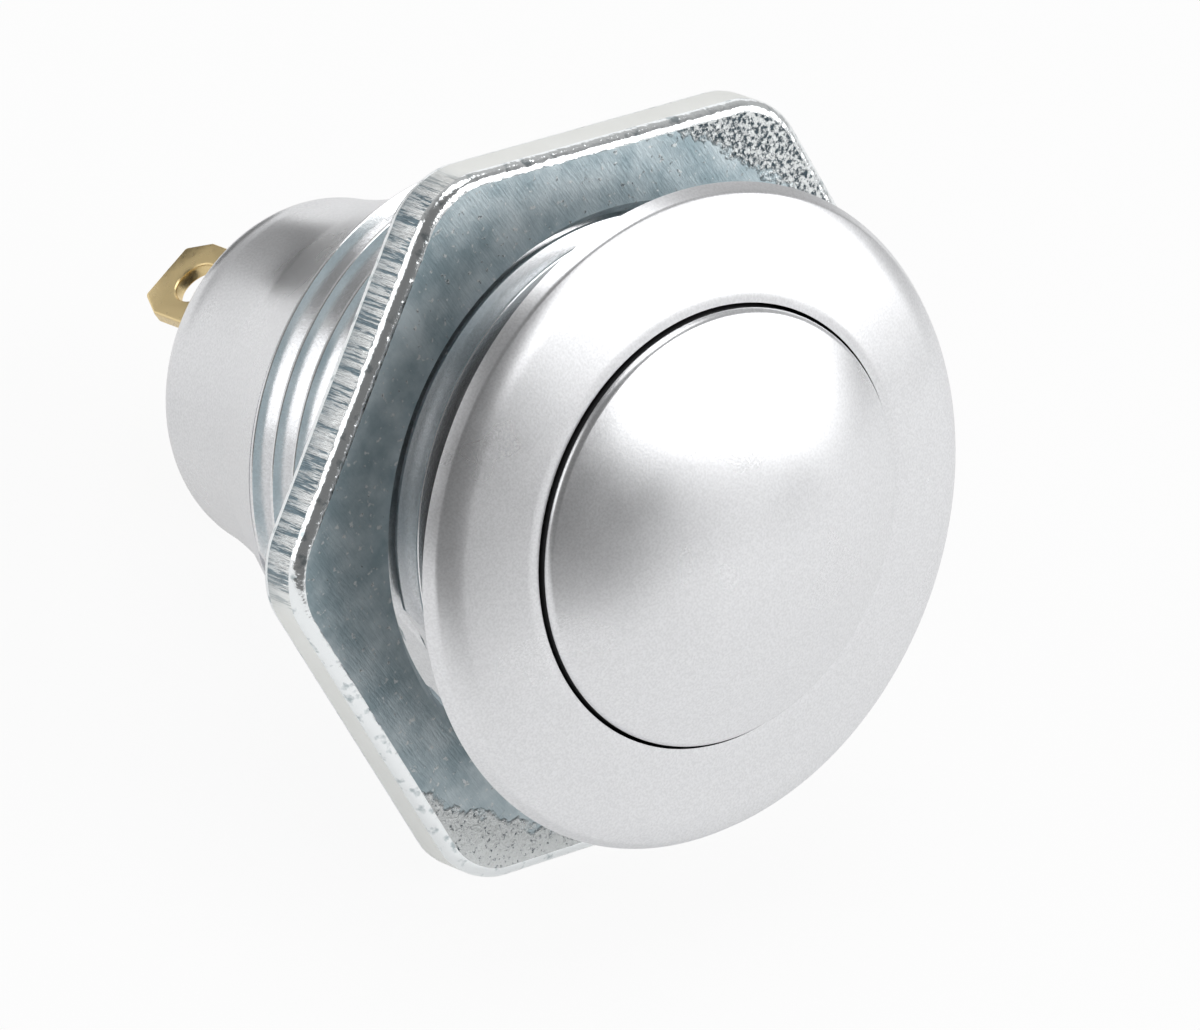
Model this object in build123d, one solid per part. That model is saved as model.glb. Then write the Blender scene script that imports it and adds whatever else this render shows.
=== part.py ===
from build123d import *
import os
from math import sqrt

# A metal panel pushbutton on an M16 x 1 barrel: a domed, momentary button in a crowned bezel,
# a hex nut on the barrel, and a rounded rear shell with two gold-plated solder lugs.
#
# Frame, in millimetres: +Z points out of the front along the barrel's axis. The origin is the
# centre of the bezel's underside, the face that seats on the panel. The barrel's flat faces -Y,
# and the two lugs stand at -X (left) and +X (right) with their width along Y.
# Every height called a level is a Z coordinate, and every depth or length is positive.

# Bezel
bezel_d = 19.4
rim_foot_height = 0.11
rim_foot_break = 0.1
rim_top_d = 18.9
rim_height = 0.37
bezel_height = 1.22
bezel_crown_r = 45.0
button_hole_d = 12.94
rim_round = 0.12
bore_edge_round = 0.05

# Threaded barrel
thread_d = 16.0
thread_pitch = 1.0
thread_depth = 0.61
thread_crest_flat = 0.125
thread_root_flat = 0.25
first_groove_depth = 1.7
groove_count = 9
barrel_length = 10.4
thread_lead_in = 0.35
neck_d = 14.6
neck_length = 1.6
flat_distance = 7.33
web_thickness = 1.4
bush_seat_d = 6.4
tail_wall = 1.4
spigot_wall = 0.4
spigot_length = 1.5

# Panel seal, an O-ring on the neck behind the bezel
panel_seal_section = 1.2
seal_recess_d = 17.2
seal_recess_depth = 0.15

# Button, turned in one piece with its stem
travel = 1.4
stop_clearance = 0.2
button_gap = 0.12
button_edge_height = 0.24
crown_rise = 1.35
button_edge_round = 0.7
skirt_depth = 1.6
skirt_edge_break = 0.2
spring_pocket_d = 8.6
spring_pocket_height = 0.8
stem_d = 4.0
clip_groove_d = 3.0
stem_land = 0.7
stem_spigot_d = 2.6
stem_spigot_length = 0.7
seal_groove_depth = 0.72
seal_groove_width = 0.9
seal_groove_offset = 0.35

# Button seal, an O-ring in the button's groove
button_seal_section = 0.8
seal_floor_clearance = 0.01

# Guide bush in the web
stem_clearance = 0.05
bush_flange_d = 8.4
bush_flange_thickness = 0.5

# Return spring and its seat
seat_od = 8.2
seat_thickness = 0.25
seat_stem_clearance = 0.3
return_spring_mean_d = 6.2
return_spring_wire = 0.4
return_spring_turns = 4.5
wire_sides = 8

# Retaining clip
clip_d = 6.4
clip_thickness = 0.45
clip_play = 0.02
clip_mouth = 2.4
clip_ear_notch_d = 1.3

# Plunger, the insulating pusher on the stem's end
plunger_d = 5.2
plunger_shoulder = 1.0
guide_pin_d = 2.2
snap_head_d = 2.9
snap_tip_d = 1.9
snap_head_length = 0.55
snap_play = 0.02

# Contact bridge with its spring and its two contact rivets
contact_play = 0.02
contact_overtravel = 0.4
bridge_end_clearance = 0.8
bridge_width = 2.4
bridge_eye_d = 4.2
bridge_thickness = 0.3
bridge_clearance = 0.15
contact_spring_length = 1.4
contact_spring_mean_d = 3.2
contact_spring_wire = 0.18
contact_spring_turns = 3.5
spring_end_clearance = 0.02
contact_head_d = 1.9
contact_head_height = 0.34
contact_shank_d = 1.0
contact_upset_d = 1.5
contact_upset_height = 0.16
contact_edge_round = 0.1

# Solder lugs
lug_spacing = 5.6
lug_width = 2.8
lug_thickness = 0.5
lug_reach = 3.66
lug_corner_width = 0.45
lug_corner_length = 0.85
lug_coin_width = 0.12
eyelet_d = 1.4
eyelet_from_end = 1.5
foot_end_clearance = 0.55
foot_bend_r = 0.4

# Insulating sleeve and terminal base
sleeve_wall = 0.7
sleeve_flange_clearance = 0.05
base_flange_thickness = 1.0
base_boss_clearance = 0.4
base_boss_length = 1.4

# Rear shell
shell_shoulder = 0.3
shell_crease_d = 12.46
shell_cone_length = 3.06
shell_belly_d = 11.41
shell_belly_length = 1.76
shell_end_d = 10.69
shell_end_round = 1.41
shell_length = 7.99
shell_mouth_d = 7.9
shell_wall = 0.6
shell_lip = 0.45
ledge_inner_d = 10.6
resin_recess = 0.22

# Hex nut, rest position as worn in the photograph
nut_across_flats = 21.0
nut_thickness = 1.64
nut_front_depth = 3.03
nut_turn = 25.0
nut_thread_clearance = 0.05
nut_countersink_d = 17.8
nut_countersink_depth = 0.5
nut_face_d = 19.6
nut_blank_d = 24.2
nut_corner_drop = 0.12
nut_edge_break = 0.22
nut_corner_round = 2.4

# Radii and levels that follow from the sizes above
bezel_r = bezel_d / 2
thread_r = thread_d / 2
neck_r = neck_d / 2
spigot_r = thread_r - tail_wall
rear_cavity_r = spigot_r - spigot_wall
sleeve_inner_r = rear_cavity_r - sleeve_wall
shell_front_r = thread_r - shell_shoulder
bridge_length = 2 * (sleeve_inner_r - bridge_end_clearance)
contact_spacing = bridge_length - bridge_width
stem_r = stem_d / 2
button_hole_r = button_hole_d / 2
button_r = button_hole_r - button_gap
web_top = -skirt_depth - travel - stop_clearance
web_rear = web_top - web_thickness
bush_rear = web_rear - bush_flange_thickness
clip_front = bush_rear - clip_play
clip_rear = clip_front - clip_thickness
land_front = clip_rear - clip_play
plunger_front = land_front - stem_land
plunger_rear = plunger_front - plunger_shoulder
bridge_front = plunger_rear - contact_spring_length
bridge_rear = bridge_front - bridge_thickness
moving_face = bridge_rear - contact_head_height
fixed_face = moving_face - (travel - contact_overtravel) - contact_play
foot_front = fixed_face - contact_head_height
base_front = foot_front - lug_thickness
ledge_level = base_front - base_flange_thickness
barrel_rear = -barrel_length
spigot_front = barrel_rear + spigot_length
crease_level = barrel_rear - shell_cone_length
belly_level = crease_level - shell_belly_length
shell_end = barrel_rear - shell_length
shell_turn = shell_end + shell_end_round
lug_end = shell_end - lug_reach
base_boss_r = ledge_inner_d / 2 - base_boss_clearance
seat_front = web_top + seat_thickness


def path(*parts):
    """Edges of a half-section in (radius, level) from corners and arcs, closed back to the start.

    A corner is a pair. An arc is ("arc", radius_of_curvature, end corner), bulging outwards to the
    right of its travel when the radius is positive.
    """
    edges = []
    here = parts[0]
    for part in parts[1:] + (parts[0],):
        if part[0] == "arc":
            edges.append(RadiusArc(here, part[2], part[1]))
            here = part[2]
        elif part != here:
            edges.append(Line(here, part))
            here = part
    return edges


def turned(*parts, rounds=()):
    """A solid turned about Z from a half-section, with rounds as (corner, radius) pairs."""
    section = make_face(path(*parts))
    for corner, radius in rounds:
        at_corner = section.vertices().sort_by_distance((*corner, 0))[0]
        section = fillet(at_corner, radius)
    return revolve(Plane.XZ * section, Axis.Z)


def ring(inner_d, outer_d, low, high):
    """A plain flat ring about Z between two levels."""
    disc = Circle(outer_d / 2) - Circle(inner_d / 2)
    return Pos(0, 0, low) * extrude(disc, high - low)


def cylinder_between(diameter, low, high, x=0.0):
    """A round bar along Z between two levels, standing at x."""
    return Pos(x, 0, low) * extrude(Circle(diameter / 2), high - low)


def block(x_low, x_high, width, low, high):
    """A block centred on Y = 0, between two x values and two levels."""
    return Pos((x_low + x_high) / 2, 0, (low + high) / 2) * Box(x_high - x_low, width, high - low)


def o_ring(mean_d, section_d, level):
    """An O-ring about Z."""
    return Pos(0, 0, level) * Torus(mean_d / 2, section_d / 2)


def coil_spring(mean_d, wire_d, turns, low, high):
    """A coil of wire between two levels, with both ends ground flat to half the wire.

    The wire has eight flats instead of a round section, to keep the facets few.
    """
    helix = Pos(0, 0, low) * Helix((high - low) / turns, high - low, mean_d / 2)
    section = RegularPolygon(wire_d / 2, wire_sides)
    wire = sweep(Plane(origin=helix @ 0, z_dir=helix % 0) * section, path=helix, is_frenet=True)
    return wire & cylinder_between(mean_d + 2 * wire_d, low, high)


def thread_groove(level):
    """A ring with the form of one thread groove, centred on a level and open past the crests."""
    root_r = thread_r - thread_depth
    root_half = thread_root_flat / 2
    mouth_half = (thread_pitch - thread_crest_flat) / 2
    beyond = thread_lead_in
    open_half = mouth_half + beyond * (mouth_half - root_half) / thread_depth
    return turned(
        (root_r, level + root_half),
        (thread_r + beyond, level + open_half),
        (thread_r + beyond, level - open_half),
        (root_r, level - root_half),
    )


def bezel_barrel():
    """Crowned bezel, threaded barrel and inner web, turned from one bar.

    The thread is a row of ring grooves, one for each turn, so its form needs few faces.
    """
    rim_corner = (rim_top_d / 2, rim_height)
    bore_edge = (button_hole_r, bezel_height)
    body = turned(
        bore_edge,
        ("arc", bezel_crown_r, rim_corner),
        (bezel_r, rim_foot_height),
        (bezel_r - rim_foot_break, 0),
        (seal_recess_d / 2, 0),
        (seal_recess_d / 2, seal_recess_depth),
        (neck_r, seal_recess_depth),
        (neck_r, -neck_length),
        (thread_r, -neck_length),
        (thread_r, barrel_rear + thread_lead_in),
        (thread_r - thread_lead_in, barrel_rear),
        (spigot_r, barrel_rear),
        (spigot_r, spigot_front),
        (rear_cavity_r, spigot_front),
        (rear_cavity_r, web_rear),
        (bush_seat_d / 2, web_rear),
        (bush_seat_d / 2, web_top),
        (button_hole_r, web_top),
        rounds=[(rim_corner, rim_round), (bore_edge, bore_edge_round)],
    )
    beyond = bezel_r - flat_distance
    flat_cut = Pos(0, -flat_distance - beyond / 2, barrel_rear / 2) * Box(bezel_d, beyond, barrel_length)
    grooves = [thread_groove(-first_groove_depth - turn * thread_pitch) for turn in range(groove_count)]
    return body - grooves - flat_cut


def panel_seal():
    """O-ring lying in the recess behind the bezel, round the barrel's neck."""
    section_r = panel_seal_section / 2
    return o_ring(neck_d + panel_seal_section, panel_seal_section, seal_recess_depth - section_r)


def button():
    """Domed button with its skirt, seal groove, spring pocket and stem, turned in one piece."""
    edge_level = bezel_height + button_edge_height
    dome_r = (button_r**2 + crown_rise**2) / (2 * crown_rise)
    skirt_level = -skirt_depth
    groove_high = -seal_groove_offset
    groove_low = groove_high - seal_groove_width
    groove_r = button_r - seal_groove_depth
    pocket_r = spring_pocket_d / 2
    edge_corner = (button_r, edge_level)
    return turned(
        (0, edge_level + crown_rise),
        ("arc", dome_r, edge_corner),
        (button_r, groove_high),
        (groove_r, groove_high),
        (groove_r, groove_low),
        (button_r, groove_low),
        (button_r, skirt_level + skirt_edge_break),
        (button_r - skirt_edge_break, skirt_level),
        (pocket_r, skirt_level),
        (pocket_r, spring_pocket_height),
        (stem_r, spring_pocket_height),
        (stem_r, bush_rear),
        (clip_groove_d / 2, bush_rear),
        (clip_groove_d / 2, land_front),
        (stem_r, land_front),
        (stem_r, plunger_front),
        (stem_spigot_d / 2, plunger_front),
        (stem_spigot_d / 2, plunger_front - stem_spigot_length),
        (0, plunger_front - stem_spigot_length),
        rounds=[(edge_corner, button_edge_round)],
    )


def button_seal():
    """O-ring in the button's groove, which keeps water out of the bore."""
    floor_r = button_r - seal_groove_depth + seal_floor_clearance
    level = -seal_groove_offset - seal_groove_width / 2
    return o_ring(2 * floor_r + button_seal_section, button_seal_section, level)


def spring_seat():
    """Flat washer under the return spring, on the front of the web."""
    return ring(stem_d + 2 * seat_stem_clearance, seat_od, web_top, seat_front)


def return_spring():
    """Coil spring between the seat and the roof of the button's spring pocket."""
    top = spring_pocket_height - spring_end_clearance
    return coil_spring(return_spring_mean_d, return_spring_wire, return_spring_turns, seat_front, top)


def guide_bush():
    """Flanged bush pressed into the web from behind. It guides the stem."""
    bore_r = stem_r + stem_clearance
    return turned(
        (bore_r, web_top),
        (bush_seat_d / 2, web_top),
        (bush_seat_d / 2, web_rear),
        (bush_flange_d / 2, web_rear),
        (bush_flange_d / 2, bush_rear),
        (bore_r, bush_rear),
    )


def retaining_clip():
    """E-clip in the stem's groove. It stops the button from coming out of the front."""
    washer = ring(clip_groove_d, clip_d, clip_rear, clip_front)
    mouth = block(0, clip_d, clip_mouth, clip_rear, clip_front)
    notch_r = clip_groove_d / 2 + clip_ear_notch_d / 4
    clip = washer - mouth
    for angle in (120, 240):
        notch = cylinder_between(clip_ear_notch_d, clip_rear, clip_front, x=notch_r)
        clip = clip - Rot(0, 0, angle) * notch
    return clip


def plunger():
    """Moulded pusher on the stem's spigot, with a guide pin that ends in a snap head."""
    shoulder_r = plunger_d / 2
    pin_r = guide_pin_d / 2
    head_level = bridge_rear - snap_play
    bore_level = plunger_front - stem_spigot_length
    return turned(
        (stem_spigot_d / 2, plunger_front),
        (shoulder_r, plunger_front),
        (shoulder_r, plunger_rear),
        (pin_r, plunger_rear),
        (pin_r, head_level),
        (snap_head_d / 2, head_level),
        (snap_tip_d / 2, head_level - snap_head_length),
        (0, head_level - snap_head_length),
        (0, bore_level),
        (stem_spigot_d / 2, bore_level),
    )


def contact_spring():
    """Light coil between the plunger's shoulder and the bridge, for contact pressure and overtravel."""
    low = bridge_front + spring_end_clearance
    high = plunger_rear - spring_end_clearance
    return coil_spring(contact_spring_mean_d, contact_spring_wire, contact_spring_turns, low, high)


def contact_bridge():
    """Flat bar with a widened eye that joins the two fixed contacts when the button is pressed."""
    outline = SlotOverall(bridge_length, bridge_width) + Circle(bridge_eye_d / 2)
    outline -= Circle(guide_pin_d / 2 + bridge_clearance)
    for side in (-1, 1):
        outline -= Pos(side * contact_spacing / 2, 0) * Circle(contact_shank_d / 2)
    return Pos(0, 0, bridge_rear) * extrude(outline, bridge_thickness)


def moving_contact(side):
    """Contact rivet under one end of the bridge, with its upset end above."""
    head_r = contact_head_d / 2
    shank_r = contact_shank_d / 2
    upset_r = contact_upset_d / 2
    upset_level = bridge_front + contact_upset_height
    rivet = turned(
        (0, moving_face),
        (head_r, moving_face),
        (head_r, bridge_rear),
        (shank_r, bridge_rear),
        (shank_r, bridge_front),
        (upset_r, bridge_front),
        (upset_r, upset_level),
        (0, upset_level),
        rounds=[((head_r, moving_face), contact_edge_round)],
    )
    return Pos(side * contact_spacing / 2, 0, 0) * rivet


def fixed_contact(side):
    """Contact rivet on the front of one lug's foot."""
    head_r = contact_head_d / 2
    shank_r = contact_shank_d / 2
    rivet = turned(
        (0, fixed_face),
        (head_r, fixed_face),
        (head_r, foot_front),
        (shank_r, foot_front),
        (shank_r, base_front),
        (0, base_front),
        rounds=[((head_r, fixed_face), contact_edge_round)],
    )
    return Pos(side * contact_spacing / 2, 0, 0) * rivet


def lug_blade():
    """Flat blade of one lug in its own plane, from the foot's bend to the pointed end with its eyelet."""
    half = lug_width / 2
    tip = half - lug_corner_width
    outline = make_face(
        Polyline(
            (-half, foot_front),
            (-half, lug_end + lug_corner_length),
            (-tip, lug_end),
            (tip, lug_end),
            (half, lug_end + lug_corner_length),
            (half, foot_front),
            close=True,
        )
    )
    blade = extrude(Plane.YZ * outline, lug_thickness / 2, both=True)
    coined = [
        edge
        for edge in blade.edges()
        if edge.center().Z < lug_end + 0.9 * lug_corner_length and abs(edge.tangent_at(0.5).X) < 0.5
    ]
    blade = chamfer(coined, lug_coin_width)
    eyelet = Pos(0, 0, lug_end + eyelet_from_end) * Rot(0, 90, 0) * Cylinder(eyelet_d / 2, 2 * lug_thickness)
    return blade - eyelet


def lug(side):
    """Solder lug bent from flat strip: the foot carries the fixed contact, the blade leaves the rear."""
    inner_face = lug_spacing / 2 - lug_thickness / 2
    blade = Pos(lug_spacing / 2, 0, 0) * lug_blade()
    foot = block(inner_face, sleeve_inner_r - foot_end_clearance, lug_width, base_front, foot_front)
    strip = blade + foot
    outer_bend = strip.edges().filter_by(Axis.Y).sort_by_distance((inner_face, 0, foot_front))[0]
    strip = fillet(outer_bend, foot_bend_r)
    strip = strip - cylinder_between(contact_shank_d, base_front, foot_front, x=contact_spacing / 2)
    return strip if side > 0 else mirror(strip, Plane.YZ)


def insulating_sleeve():
    """Moulded sleeve that lines the rear cavity and keeps the contacts off the metal barrel."""
    flange_r = bush_flange_d / 2 + sleeve_flange_clearance
    return turned(
        (flange_r, web_rear),
        (rear_cavity_r, web_rear),
        (rear_cavity_r, base_front),
        (sleeve_inner_r, base_front),
        (sleeve_inner_r, bush_rear),
        (flange_r, bush_rear),
    )


def blades():
    """Both blades at their full section, to cut the slots that they pass through."""
    inner = lug_spacing / 2 - lug_thickness / 2
    right = block(inner, inner + lug_thickness, lug_width, lug_end, foot_front)
    return right + mirror(right, Plane.YZ)


def terminal_base():
    """Moulded base with two slots that holds the lugs. Its flange sits on the rear shell's ledge."""
    boss_level = ledge_level - base_boss_length
    base = turned(
        (0, base_front),
        (rear_cavity_r, base_front),
        (rear_cavity_r, ledge_level),
        (base_boss_r, ledge_level),
        (base_boss_r, boss_level),
        (0, boss_level),
    )
    return base - blades()


def mouth_level():
    """Level of the mouth's outer edge, on the shell's end round."""
    centre_r = shell_end_d / 2 - shell_end_round
    return shell_turn - sqrt(shell_end_round**2 - (shell_mouth_d / 2 - centre_r) ** 2)


def rear_shell():
    """Rounded rear shell, turned: a spigot in the barrel, a cone, a crease, then a belly to the mouth."""
    inner_r = shell_end_d / 2 - shell_wall
    mouth_r = shell_mouth_d / 2
    mouth = mouth_level()
    belly = ThreePointArc(
        (shell_crease_d / 2, crease_level),
        (shell_belly_d / 2, belly_level),
        (shell_end_d / 2, shell_turn),
    )
    end_round = RadiusArc((shell_end_d / 2, shell_turn), (mouth_r, mouth), shell_end_round)
    outside = [
        Line((spigot_r, barrel_rear), (shell_front_r, barrel_rear)),
        Line((shell_front_r, barrel_rear), (shell_crease_d / 2, crease_level)),
        belly,
        end_round,
    ]
    inside = path(
        (mouth_r, mouth),
        (mouth_r, mouth + shell_lip),
        (inner_r, shell_turn),
        (ledge_inner_d / 2, ledge_level),
        (rear_cavity_r, ledge_level),
        (rear_cavity_r, spigot_front),
        (spigot_r, spigot_front),
        (spigot_r, barrel_rear),
    )[:-1]
    return revolve(Plane.XZ * make_face(outside + inside), Axis.Z)


def resin_seal():
    """Potting resin behind the base. It closes the shell's mouth round the lugs."""
    inner_r = shell_end_d / 2 - shell_wall
    mouth_r = shell_mouth_d / 2
    mouth = mouth_level()
    boss_level = ledge_level - base_boss_length
    fill = turned(
        (base_boss_r, ledge_level),
        (ledge_inner_d / 2, ledge_level),
        (inner_r, shell_turn),
        (mouth_r, mouth + shell_lip),
        (mouth_r, mouth + resin_recess),
        (0, mouth + resin_recess),
        (0, boss_level),
        (base_boss_r, boss_level),
    )
    return fill - blades()


def hex_nut():
    """Hex nut with rounded corners, a faced circle that stands just proud of them, and a countersunk bore."""
    front = -nut_front_depth
    rear = front - nut_thickness
    face_r = nut_face_d / 2
    blank_r = nut_blank_d / 2
    bore_r = thread_r + nut_thread_clearance
    hexagon = RegularPolygon(nut_across_flats / 2, 6, major_radius=False)
    hexagon = fillet(hexagon.vertices(), nut_corner_round)
    prism = Pos(0, 0, rear) * Rot(0, 0, nut_turn - 30) * extrude(hexagon, nut_thickness)
    prism = chamfer(prism.edges().group_by(Axis.Z)[-1], nut_edge_break)
    prism = chamfer(prism.edges().group_by(Axis.Z)[0], nut_edge_break)
    envelope = turned(
        (bore_r, front - nut_countersink_depth),
        (nut_countersink_d / 2, front),
        (face_r, front),
        (blank_r, front - nut_corner_drop),
        (blank_r, rear + nut_corner_drop),
        (face_r, rear),
        (nut_countersink_d / 2, rear),
        (bore_r, rear + nut_countersink_depth),
    )
    return prism & envelope


pieces = {
    "bezel_barrel": bezel_barrel(),
    "panel_seal": panel_seal(),
    "hex_nut": hex_nut(),
    "button": button(),
    "button_seal": button_seal(),
    "spring_seat": spring_seat(),
    "return_spring": return_spring(),
    "guide_bush": guide_bush(),
    "retaining_clip": retaining_clip(),
    "plunger": plunger(),
    "contact_spring": contact_spring(),
    "contact_bridge": contact_bridge(),
    "moving_contact_left": moving_contact(-1),
    "moving_contact_right": moving_contact(1),
    "fixed_contact_left": fixed_contact(-1),
    "fixed_contact_right": fixed_contact(1),
    "solder_lug_left": lug(-1),
    "solder_lug_right": lug(1),
    "insulating_sleeve": insulating_sleeve(),
    "terminal_base": terminal_base(),
    "rear_shell": rear_shell(),
    "resin_seal": resin_seal(),
}

os.makedirs("parts", exist_ok=True)
for name, shape in pieces.items():
    export_step(shape, f"parts/{name}.step")
    print(name, round(shape.volume, 3), shape.is_valid)
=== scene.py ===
# %% [markdown]
# # A metal pushbutton with a threaded barrel
#
# The model from the workshop drawing is already there as a frame of plain solids in metres: +Z leaves
# the front of the switch along its barrel, and the origin is the centre of the bezel's underside.
# This notebook gives each surface that shows its real form and finish. The turned pieces are spun
# again here from half-sections, because a spin with many steps gives a smooth reflection, and satin
# metal shows every facet. Most pieces that stay hidden inside keep their plain solids.

import math

import bmesh
import bpy
from mathutils import Matrix, Vector


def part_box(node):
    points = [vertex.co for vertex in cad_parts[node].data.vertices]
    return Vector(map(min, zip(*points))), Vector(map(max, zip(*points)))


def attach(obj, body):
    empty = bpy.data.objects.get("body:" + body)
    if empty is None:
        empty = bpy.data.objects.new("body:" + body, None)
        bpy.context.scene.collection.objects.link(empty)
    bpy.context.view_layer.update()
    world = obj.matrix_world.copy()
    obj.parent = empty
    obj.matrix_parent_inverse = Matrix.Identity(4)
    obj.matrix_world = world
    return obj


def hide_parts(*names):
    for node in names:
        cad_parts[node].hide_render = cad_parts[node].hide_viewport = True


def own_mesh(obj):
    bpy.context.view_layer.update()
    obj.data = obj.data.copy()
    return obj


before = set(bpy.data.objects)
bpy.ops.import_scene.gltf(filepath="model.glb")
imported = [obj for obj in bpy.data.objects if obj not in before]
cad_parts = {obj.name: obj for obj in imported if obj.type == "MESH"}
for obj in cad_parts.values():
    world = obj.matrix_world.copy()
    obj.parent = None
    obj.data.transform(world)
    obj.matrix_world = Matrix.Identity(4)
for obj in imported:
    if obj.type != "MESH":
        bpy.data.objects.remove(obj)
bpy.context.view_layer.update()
mm = 0.001

# %% [markdown]
# ## The camera
#
# The photograph was taken with a long lens from well in front, so lines that are parallel on the
# switch stay almost parallel. The camera is placed by two angles round the object, a distance and a
# roll about its own line of sight, because the photographer's switch lay tilted in the picture while
# the drawing stands it upright.

# %% Camera
PHOTO_WIDTH = 1200
SENSOR_WIDTH = 36.0
FOCAL_PIXELS = 11518
CAMERA_AZIMUTH = math.radians(-64.8)
CAMERA_ELEVATION = math.radians(47.62)
CAMERA_ROLL = math.radians(110.83)
CAMERA_DISTANCE = 323.98 * mm
CAMERA_AIM = Vector((-1.24, -1.55, -1.62)) * mm
CLIP_SPAN = 10


def camera_axes():
    """The camera's right, up and backward directions in the frame."""
    level_reach = math.cos(CAMERA_ELEVATION)
    back = Vector(
        (
            math.sin(CAMERA_AZIMUTH) * level_reach,
            -math.cos(CAMERA_AZIMUTH) * level_reach,
            math.sin(CAMERA_ELEVATION),
        )
    )
    level_right = Vector((math.cos(CAMERA_AZIMUTH), math.sin(CAMERA_AZIMUTH), 0))
    level_up = back.cross(level_right)
    right = level_right * math.cos(CAMERA_ROLL) + level_up * math.sin(CAMERA_ROLL)
    return right, back.cross(right), back


def make_camera():
    right, up, back = camera_axes()
    data = bpy.data.cameras.new("camera")
    data.sensor_fit = "HORIZONTAL"
    data.sensor_width = SENSOR_WIDTH
    data.lens = SENSOR_WIDTH * FOCAL_PIXELS / PHOTO_WIDTH
    data.clip_start = CAMERA_DISTANCE / CLIP_SPAN
    data.clip_end = CAMERA_DISTANCE * CLIP_SPAN
    camera = bpy.data.objects.new("camera", data)
    turn = Matrix((right, up, back)).transposed().to_4x4()
    camera.matrix_world = Matrix.Translation(CAMERA_AIM + back * CAMERA_DISTANCE) @ turn
    bpy.context.scene.collection.objects.link(camera)
    bpy.context.scene.camera = camera
    return camera


camera = make_camera()
print("lens", round(camera.data.lens, 1), "mm")

# %% [markdown]
# ## Wiring shader nodes
#
# The floor, the world and every finish are small networks of nodes, and a few kinds of node come
# back all the time. Each gets a function that makes the node in a network, wires it and gives its
# output, so that a finish reads like a sum.

# %% Wiring helpers


def feed(net, socket, value):
    """Wires another node's output to a socket, or gives the socket a value of its own."""
    if isinstance(value, bpy.types.NodeSocket):
        net.links.new(value, socket)
    else:
        socket.default_value = value


def maths(net, operation, first, second):
    """One sum of two values, where the second may be a number."""
    node = net.nodes.new("ShaderNodeMath")
    node.operation = operation
    feed(net, node.inputs[0], first)
    feed(net, node.inputs[1], second)
    return node.outputs["Value"]


def vector_maths(net, operation, first, second=(0, 0, 0)):
    """One sum of two vectors that gives a number."""
    node = net.nodes.new("ShaderNodeVectorMath")
    node.operation = operation
    feed(net, node.inputs[0], first)
    feed(net, node.inputs[1], second)
    return node.outputs["Value"]


def ramp(net, value, low, high, low_out, high_out):
    """Maps one stretch of values onto another."""
    node = net.nodes.new("ShaderNodeMapRange")
    stretch = {"From Min": low, "From Max": high, "To Min": low_out, "To Max": high_out}
    for name, number in stretch.items():
        node.inputs[name].default_value = number
    net.links.new(value, node.inputs["Value"])
    return node.outputs["Result"]


# %% [markdown]
# ## Floor and light
#
# Satin metal has hardly any colour of its own: what you see on it is a blurred picture of the room.
# A plain pale floor and a few large soft lights make that room. The switch lies on the floor as in
# the photograph, on one flat of its nut and the end of a lug, so the floor is tilted against the
# drawing's upright axis. It can be seen only from above, so that a view from behind isn't blocked.

# %% Floor
FLOOR_UP = Vector((-0.75, 0.53, 0.39)).normalized()
FLOOR_BELOW = 11.75 * mm
FLOOR_HALF = 1.6
FLOOR_COLOUR = (0.95, 0.95, 0.95, 1)
FLOOR_WHITE_SEEN, FLOOR_WHITE_MIRRORED = 0.92, 0.42


def white_share(net, to_camera, in_mirrors):
    """How white a background looks: one share to the camera, another in a mirroring surface."""
    ray = net.nodes.new("ShaderNodeLightPath").outputs
    seen = maths(net, "MULTIPLY", ray["Is Camera Ray"], to_camera)
    mirror = maths(net, "MAXIMUM", ray["Is Glossy Ray"], ray["Is Transmission Ray"])
    return maths(net, "MAXIMUM", seen, maths(net, "MULTIPLY", mirror, in_mirrors))


def mixed_shaders(net, share, first, second):
    mix = net.nodes.new("ShaderNodeMixShader")
    for socket, output in zip(mix.inputs, (share, first, second)):
        net.links.new(output, socket)
    return mix.outputs[0]


def floor_material():
    """Pale paper that reads as white and takes a shadow, and is clear to a viewer below it."""
    material = bpy.data.materials.new("studio_floor")
    material.use_nodes = True
    net = material.node_tree
    net.nodes.clear()
    paper = net.nodes.new("ShaderNodeBsdfDiffuse")
    paper.inputs["Color"].default_value = FLOOR_COLOUR
    white = net.nodes.new("ShaderNodeEmission")
    clear = net.nodes.new("ShaderNodeBsdfTransparent")
    share = white_share(net, FLOOR_WHITE_SEEN, FLOOR_WHITE_MIRRORED)
    above = mixed_shaders(net, share, paper.outputs[0], white.outputs[0])
    from_below = net.nodes.new("ShaderNodeNewGeometry").outputs["Backfacing"]
    output = net.nodes.new("ShaderNodeOutputMaterial")
    net.links.new(mixed_shaders(net, from_below, above, clear.outputs[0]), output.inputs["Surface"])
    return material


def facing(point, way):
    """A place at a point, turned so that its upright axis looks along a direction."""
    return Matrix.Translation(point) @ way.to_track_quat("Z", "Y").to_matrix().to_4x4()


def stage_square(name, half, place, material):
    """A flat square that belongs to the studio, and isn't part of the switch."""
    bm = bmesh.new()
    bmesh.ops.create_grid(bm, x_segments=1, y_segments=1, size=half, matrix=place)
    mesh = bpy.data.meshes.new(name)
    bm.to_mesh(mesh)
    bm.free()
    mesh.materials.append(material)
    square = bpy.data.objects.new(name, mesh)
    bpy.context.scene.collection.objects.link(square)
    return square


stage_square("floor", FLOOR_HALF, facing(-FLOOR_UP * FLOOR_BELOW, FLOOR_UP), floor_material())
print("floor lies", round(FLOOR_BELOW / mm, 2), "mm from the origin")

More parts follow.
